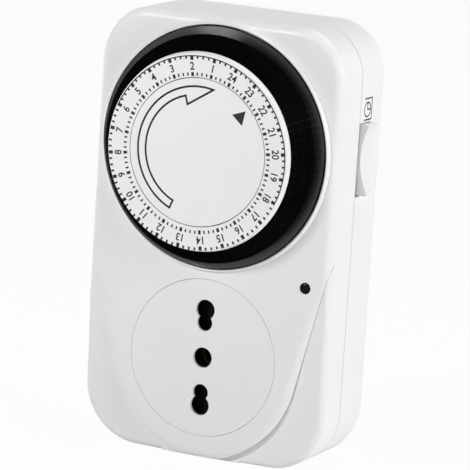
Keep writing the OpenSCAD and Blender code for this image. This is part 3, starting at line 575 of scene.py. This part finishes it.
def rim_rings(side):
    """Sections of a bar along the case's outer edge beside the panel."""
    rings = []
    for point, inward, radius in ground_rim():
        section = round_section(drop=radius, width=radius, foot=0, bottom=radius, outside=CUTTER_CLEAR)
        ring = []
        for into, depth in section:
            flat = point + inward * into
            ring.append((side * flat.x, front_face_y + ground_depth(flat.y) + depth, flat.y))
        rings.append(ring)
    return rings


def swept_cutter(rings):
    """A closed bar through a row of equal sections."""
    rings = [ring + ring[:1] for ring in rings]
    deselect()
    bpy.ops.mesh.primitive_grid_add(x_subdivisions=len(rings[0]) - 1, y_subdivisions=len(rings) - 1)
    cutter = bpy.context.object
    corners = [corner for ring in rings for corner in ring]
    for vertex, corner in zip(cutter.data.vertices, corners, strict=True):
        vertex.co = corner
    edit_all(cutter)
    bpy.ops.mesh.remove_doubles(threshold=CUTTER_WELD)
    end_edit()
    close_ends(cutter)
    return cutter


def flatten_normals(piece):
    """Lets wide flat faces keep an even tone beside the rounds that run into them."""
    even = piece.modifiers.new("even_faces", "WEIGHTED_NORMAL")
    even.weight = 100
    even.keep_sharp = True
    apply_modifier(piece, even)


def dress_front_cover():
    """The front cover with its edges rounded, and with a groove along the panel's right edge."""
    cover = merged_copy("front_cover", "moulded_front")
    cuts = (
        panel_rings(side=-1, groove=0),
        panel_rings(side=1, groove=GROOVE_DEPTH),
        rim_rings(side=-1),
        rim_rings(side=1),
    )
    for rings in cuts:
        cutter = swept_cutter(rings)
        cut = cover.modifiers.new("edge_round", "BOOLEAN")
        cut.operation = "DIFFERENCE"
        cut.solver = "EXACT"
        cut.object = cutter
        apply_modifier(cover, cut)
        bpy.data.objects.remove(cutter)
    smooth(cover, angle=35)
    flatten_normals(cover)
    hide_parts("front_cover")
    finish_piece(cover, "case", white_case)


dress_front_cover()


# Socket face, with the walls of its holes painted black behind their rims as painted shade

# depth of each hole's white rim; behind it the walls carry painted shade
UNSHADED_RIM_DEPTH = 0.9 * MM
# all holes lie within this distance of the socket's axis
HOLE_REACH = 17 * MM
# a hole's wall has less than this of the front's direction in its normal
WALL_NORMAL = 0.1


def dress_socket_face():
    """The socket face, parted behind the rims of its holes so that the walls there can be painted black,
    as painted shade inside the holes.
    """
    face = merged_copy("socket_faceplate", "moulded_socket_face")
    painted_shade_start = front_face_y + UNSHADED_RIM_DEPTH
    edit_all(face)
    bpy.ops.mesh.bisect(plane_co=(0, painted_shade_start, 0), plane_no=(0, 1, 0))
    end_edit()
    smooth(face, angle=35)
    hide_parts("socket_faceplate")
    finish_piece(face, "case", white_case)
    # painted shade: the walls deep in the holes get the black material in a second slot, in place of the
    # case's white
    face.data.materials.append(black_matt)
    for wall in face.data.polygons:
        inside = math.hypot(wall.center.x, wall.center.z) < HOLE_REACH
        if inside and wall.center.y > painted_shade_start and abs(wall.normal.y) < WALL_NORMAL:
            wall.material_index = 1


dress_socket_face()


# Rocker, with its edges broken

ROCKER_BEVEL = 0.22 * MM
# faces that turn by less than the first angle are one face, and edges past the second are broken
ROCKER_FLAT = math.radians(2)
ROCKER_SHARP = math.radians(50)


def dress_rocker():
    """The rocker with a small round on its sharp edges."""
    rocker = merged_copy("rocker", "moulded_rocker")
    edit_all(rocker)
    bpy.ops.mesh.dissolve_limited(angle_limit=ROCKER_FLAT)
    end_edit()
    bevel = rocker.modifiers.new("broken_edges", "BEVEL")
    bevel.width = ROCKER_BEVEL
    bevel.segments = 3
    bevel.angle_limit = ROCKER_SHARP
    apply_modifier(rocker, bevel)
    smooth(rocker, angle=40)
    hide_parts("rocker")
    finish_piece(rocker, "rocker", white_rocker)


dress_rocker()


# Shutter spring, a coil that packs as the shutter slides

SPRING_WIRE = 0.3 * MM
SPRING_TURNS = 13


def wind_shutter_spring():
    """A round wire wound about X in the space of its solid, held by the stop at its right end."""
    wire_sides = 6
    turn_steps = 16
    low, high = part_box("shutter_spring")
    middle = (low + high) / 2
    length = high.x - low.x
    coil_radius = (high.y - low.y - SPRING_WIRE) / 2
    deselect()
    bpy.ops.mesh.primitive_circle_add(vertices=wire_sides, radius=SPRING_WIRE / 2)
    spring = bpy.context.object
    spring.name = "coiled_shutter_spring"
    upright = Matrix.Rotation(QUARTER_TURN, 4, "X")
    spring.data.transform(Matrix.Translation((0, 0, coil_radius)) @ upright)
    turns = spring.modifiers.new("turns", "SCREW")
    turns.axis = "X"
    turns.screw_offset = (length - SPRING_WIRE) / SPRING_TURNS
    turns.iterations = SPRING_TURNS
    turns.steps = turn_steps
    turns.render_steps = turn_steps
    apply_modifier(spring, turns)
    close_ends(spring)
    spring.data.transform(Matrix.Translation((low.x + SPRING_WIRE / 2, middle.y, middle.z)))
    smooth(spring, angle=40)
    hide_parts("shutter_spring")
    finish_piece(spring, "case", steel)
    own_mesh(spring)


wind_shutter_spring()


# Print on the dial

INK = 0.03 * MM
# the numbers and marks stand a little off the dial's axis, and so does the arrow
PRINT_CENTRE = dial_centre + Vector((-0.2 * MM, 0, -0.3 * MM))
ARROW_RISE = 0.13 * MM
HOURS = 24
QUARTERS_PER_HOUR = 4
# angle of the first hour at rest, in degrees from +X towards +Z
FIRST_HOUR_ANGLE = 81.6
# figures: place, size, width as a share of the font's own, and how much their outline is thickened
NUMBER_RADIUS = 22.95 * MM
NUMBER_HEIGHT = 2.05 * MM
NUMBER_NARROW = 0.92
NUMBER_WEIGHT = 0.02
# line along the marks of the night hours
BORDER_RADIUS = 25.75 * MM
BORDER_WIDTH = 0.3 * MM
DAY_START = 6
DAY_END = 18
# arrow: outer and inner edge of its band, width of its line, angles of its tail, neck and tip
ARROW_OUTER = 17.5 * MM
ARROW_INNER = 14.72 * MM
ARROW_LINE = 0.54 * MM
ARROW_TAIL = 246.9
ARROW_NECK = 107.3
ARROW_TIP = 75.4
# radius and angle of its barb
ARROW_BARB = (12.3 * MM, 107.6)
# corners of the pointer, across and up from the dial's axis
POINTER_CORNERS = [(13.3 * MM, 12.55 * MM), (9.5 * MM, 11.2 * MM), (12.5 * MM, 8.6 * MM)]


def hour_angle(hour):
    """Angle of an hour, or of a part of one, on the dial."""
    return FIRST_HOUR_ANGLE + (hour - 1) * 360 / HOURS


def on_dial(angle, radius):
    """Place of a flat mark, drawn in the XY plane with its top along +Y, on the dial's face."""
    centre = Vector((PRINT_CENTRE.x, dial_face_y, PRINT_CENTRE.z))
    turn = Matrix.Rotation(math.radians(90 - angle), 4, "Y")
    out = Matrix.Translation((0, 0, radius))
    return Matrix.Translation(centre) @ turn @ out @ Matrix.Rotation(QUARTER_TURN, 4, "X")


def on_disc(rise=0):
    """Place of a flat mark on the still disc, about the dial's axis or a little above it."""
    centre = Vector((dial_centre.x, dial_face_y, dial_centre.z + rise))
    return Matrix.Translation(centre) @ Matrix.Rotation(QUARTER_TURN, 4, "X")


def print_piece(piece, body):
    """Gives a flat mark the thickness of its ink, half of it in the surface, and puts it on a body."""
    ink = piece.modifiers.new("ink", "SOLIDIFY")
    ink.thickness = INK
    ink.offset = 0
    apply_modifier(piece, ink)
    turn_faces_out(piece)
    finish_piece(piece, body, dial_ink)


def join(pieces, name):
    """Joins pieces into the first of them."""
    deselect()
    for piece in pieces:
        piece.select_set(True)
    bpy.context.view_layer.objects.active = pieces[0]
    bpy.ops.object.join()
    pieces[0].name = name
    return pieces[0]


def numeral(number):
    """A number as a flat mesh about its own middle."""
    deselect()
    bpy.ops.object.text_add()
    text = bpy.context.object
    text.data.body = str(number)
    text.data.offset = NUMBER_WEIGHT
    bpy.ops.object.convert(target="MESH")
    figure = bpy.context.object
    xs = [point.co.x for point in figure.data.vertices]
    ys = [point.co.y for point in figure.data.vertices]
    middle = Vector(((min(xs) + max(xs)) / 2, (min(ys) + max(ys)) / 2, 0))
    scale = NUMBER_HEIGHT / (max(ys) - min(ys))
    size = Matrix.Diagonal((scale * NUMBER_NARROW, scale, scale, 1))
    figure.data.transform(size @ Matrix.Translation(-middle))
    return figure


def print_numbers():
    """The 24 hours."""
    figures = []
    for hour in range(1, HOURS + 1):
        figure = numeral(hour)
        figure.data.transform(on_dial(hour_angle(hour), NUMBER_RADIUS))
        figures.append(figure)
    print_piece(join(figures, "hour_numbers"), "dial")


def flat_bar(width, low, high):
    """A flat bar along the Y axis, from low to high."""
    deselect()
    bpy.ops.mesh.primitive_plane_add(size=1)
    bar = bpy.context.object
    place = Matrix.Translation((0, (low + high) / 2, 0))
    bar.data.transform(place @ Matrix.Diagonal((width, high - low, 1, 1)))
    return bar


def print_row(name, thin, bold):
    """A row of quarter-hour marks, bold on the hour; a size is width, inner and outer radius in mm."""
    marks = []
    for quarter in range(HOURS * QUARTERS_PER_HOUR):
        width, inner, outer = thin if quarter % QUARTERS_PER_HOUR else bold
        mark = flat_bar(width * MM, inner * MM, outer * MM)
        mark.data.transform(on_dial(hour_angle(1 + quarter / QUARTERS_PER_HOUR), 0))
        marks.append(mark)
    print_piece(join(marks, name), "dial")


def flat_shape(name, points):
    """A flat face through points in the XY plane."""
    deselect()
    bpy.ops.mesh.primitive_circle_add(vertices=len(points), radius=MM, fill_type="NGON")
    piece = bpy.context.object
    piece.name = name
    for vertex, point in zip(piece.data.vertices, points):
        vertex.co = (*point, 0)
    return piece


def outline(name, points, width):
    """A drawn outline: a flat face through the points, of which only the border stays."""
    piece = flat_shape(name, points)
    edit_all(piece)
    bpy.ops.mesh.normals_make_consistent(inside=False)
    bpy.ops.mesh.inset(thickness=width)
    bpy.ops.mesh.delete(type="FACE")
    end_edit()
    return piece


def polar(radius, angle):
    """Point at a radius and an angle in degrees."""
    return radius * math.cos(math.radians(angle)), radius * math.sin(math.radians(angle))


def arc_points(radius, start, end, steps):
    """Points of an arc between two angles."""
    return [polar(radius, start + (end - start) * i / steps) for i in range(steps + 1)]


def circle_points(radius, count):
    """Points of a whole circle."""
    return [polar(radius, 360 * i / count) for i in range(count)]


def print_border():
    """Line along the outer marks of the night hours."""

    def by_day(middle):
        angle = math.degrees(math.atan2(middle.z - PRINT_CENTRE.z, middle.x - PRINT_CENTRE.x)) % 360
        return hour_angle(DAY_START) < angle < hour_angle(DAY_END)

    line = outline("border_line", circle_points(BORDER_RADIUS, 192), BORDER_WIDTH)
    line.data.transform(on_dial(90, 0))
    delete_faces(line, by_day)
    print_piece(line, "dial")


def print_arrow():
    """Outlined arrow that shows which way the dial turns."""
    outer = arc_points(ARROW_OUTER, ARROW_TAIL, ARROW_TIP, 50)
    inner = arc_points(ARROW_INNER, ARROW_NECK, ARROW_TAIL, 40)
    arrow = outline("turning_arrow", outer + [polar(*ARROW_BARB)] + inner, ARROW_LINE)
    arrow.data.transform(on_disc(ARROW_RISE))
    print_piece(arrow, "case")


def print_pointer():
    """Filled triangle that points to the time."""
    pointer = flat_shape("time_pointer", POINTER_CORNERS)
    pointer.data.transform(on_disc())
    print_piece(pointer, "case")


print_numbers()
print_row("outer_marks", thin=(0.5, 24.85, 25.65), bold=(0.9, 24.5, 25.65))
print_row("inner_marks", thin=(0.42, 20.4, 21.25), bold=(0.75, 20.25, 21.35))
print_border()
print_arrow()
print_pointer()


# Sign above the rocker

SIGN_MIDDLE = Vector((side_face_x, -14.4 * MM, 69.45 * MM))
SIGN_LINE = 0.4 * MM
CLOCK_RADIUS = 2.1 * MM
LONG_HAND = 1.8 * MM
SHORT_HAND = 1.6 * MM
# lines round the clock, as distances from its middle
BOX_FRONT = -1.9 * MM
BOX_REAR = 2.65 * MM
BOX_TOP = 2.95 * MM
BOX_BOTTOM = -2.7 * MM


def level_bar(start, end, height):
    """A line of the sign along X."""
    bar = flat_bar(SIGN_LINE, start, end)
    bar.data.transform(Matrix.Translation((0, height, 0)) @ Matrix.Rotation(-QUARTER_TURN, 4, "Z"))
    return bar


def print_clock_sign():
    """A round clock with two hands, boxed in above, below and towards the rear."""
    clock = outline("clock_sign", circle_points(CLOCK_RADIUS, 48), SIGN_LINE)
    long_hand = flat_bar(SIGN_LINE, 0, LONG_HAND)
    short_hand = level_bar(0, SHORT_HAND, height=0)
    rear_line = flat_bar(SIGN_LINE, BOX_BOTTOM, BOX_TOP)
    rear_line.data.transform(Matrix.Translation((BOX_REAR, 0, 0)))
    top_line = level_bar(BOX_FRONT, BOX_REAR, BOX_TOP)
    bottom_line = level_bar(BOX_FRONT, BOX_REAR, BOX_BOTTOM)
    sign = join([clock, long_hand, short_hand, rear_line, top_line, bottom_line], "clock_sign")
    turn = Matrix.Rotation(QUARTER_TURN, 4, "Z") @ Matrix.Rotation(QUARTER_TURN, 4, "X")
    sign.data.transform(Matrix.Translation(SIGN_MIDDLE) @ turn)
    print_piece(sign, "case")


print_clock_sign()


# Floor, light and background

FLOOR_SIZE = 6
# part of the floor's look that is plain white; the rest keeps the object's shadow
FLOOR_WHITE = 0.95
ROOM_LIGHT = 0.04
WHITE = (1, 1, 1, 1)


def seen_directly(tree):
    """1 for what the camera, a mirror or glass sees, and 0 for what lights the object."""
    path = tree.nodes.new("ShaderNodeLightPath")
    total = path.outputs["Is Camera Ray"]
    for ray in ("Is Glossy Ray", "Is Transmission Ray"):
        either = tree.nodes.new("ShaderNodeMath")
        either.operation = "MAXIMUM"
        tree.links.new(total, either.inputs[0])
        tree.links.new(path.outputs[ray], either.inputs[1])
        total = either.outputs[0]
    return total


def mix_to_output(tree, share, lighting, look, output):
    """Sends a mix of what lights the object and what is seen to an output node."""
    mix = tree.nodes.new("ShaderNodeMixShader")
    tree.links.new(share, mix.inputs["Fac"])
    tree.links.new(lighting, mix.inputs[1])
    tree.links.new(look, mix.inputs[2])
    tree.links.new(mix.outputs["Shader"], tree.nodes[output].inputs["Surface"])


def add_floor():
    """A pale floor that looks almost white and keeps the object's shadow."""
    deselect()
    bpy.ops.mesh.primitive_plane_add(size=FLOOR_SIZE, location=(0, 0, floor_z))
    floor = bpy.context.object
    floor.name = "floor"
    material, tree, shader = new_material("pale_floor")
    shader.inputs["Roughness"].default_value = 0.9
    shader.inputs["Specular IOR Level"].default_value = 0
    tint = ramp(tree, noise(tree, 3), (0.84, 0.84, 0.84), (0.86, 0.86, 0.86))
    tree.links.new(tint, shader.inputs["Base Color"])
    glow = tree.nodes.new("ShaderNodeEmission")
    share = tree.nodes.new("ShaderNodeMath")
    share.operation = "MULTIPLY"
    share.inputs[1].default_value = FLOOR_WHITE
    tree.links.new(seen_directly(tree), share.inputs[0])
    mix_to_output(
        tree,
        share.outputs[0],
        shader.outputs["BSDF"],
        glow.outputs["Emission"],
        "Material Output",
    )
    floor.data.materials.append(material)


def add_world():
    """A room that is seen white and lights the object a little."""
    world = bpy.data.worlds.new("studio")
    scene.world = world
    world.use_nodes = True
    tree = world.node_tree
    room = tree.nodes["Background"]
    room.inputs["Color"].default_value = WHITE
    room.inputs["Strength"].default_value = ROOM_LIGHT
    seen = tree.nodes.new("ShaderNodeBackground")
    seen.inputs["Color"].default_value = WHITE
    mix_to_output(
        tree,
        seen_directly(tree),
        room.outputs["Background"],
        seen.outputs["Background"],
        "World Output",
    )


def add_softbox(name, place, power, size):
    """A soft square lamp that faces the middle of the object."""
    deselect()
    bpy.ops.object.light_add(type="AREA", location=place)
    lamp = bpy.context.object
    lamp.name = name
    lamp.data.size = size
    lamp.data.energy = power
    middle = (cad_low + cad_high) / 2
    lamp.rotation_euler = (middle - Vector(place)).to_track_quat("-Z", "Y").to_euler()


add_floor()
add_world()
add_softbox("front_left", place=(-0.3, -0.6, 0.34), power=2.8, size=0.14)
add_softbox("right_side", place=(1.12, -0.14, 0.28), power=9.5, size=0.6)
add_softbox("above", place=(0.15, 0.2, 0.9), power=2.8, size=0.5)
add_softbox("rear_left", place=(-0.95, 0.6, 0.12), power=4.0, size=0.5)
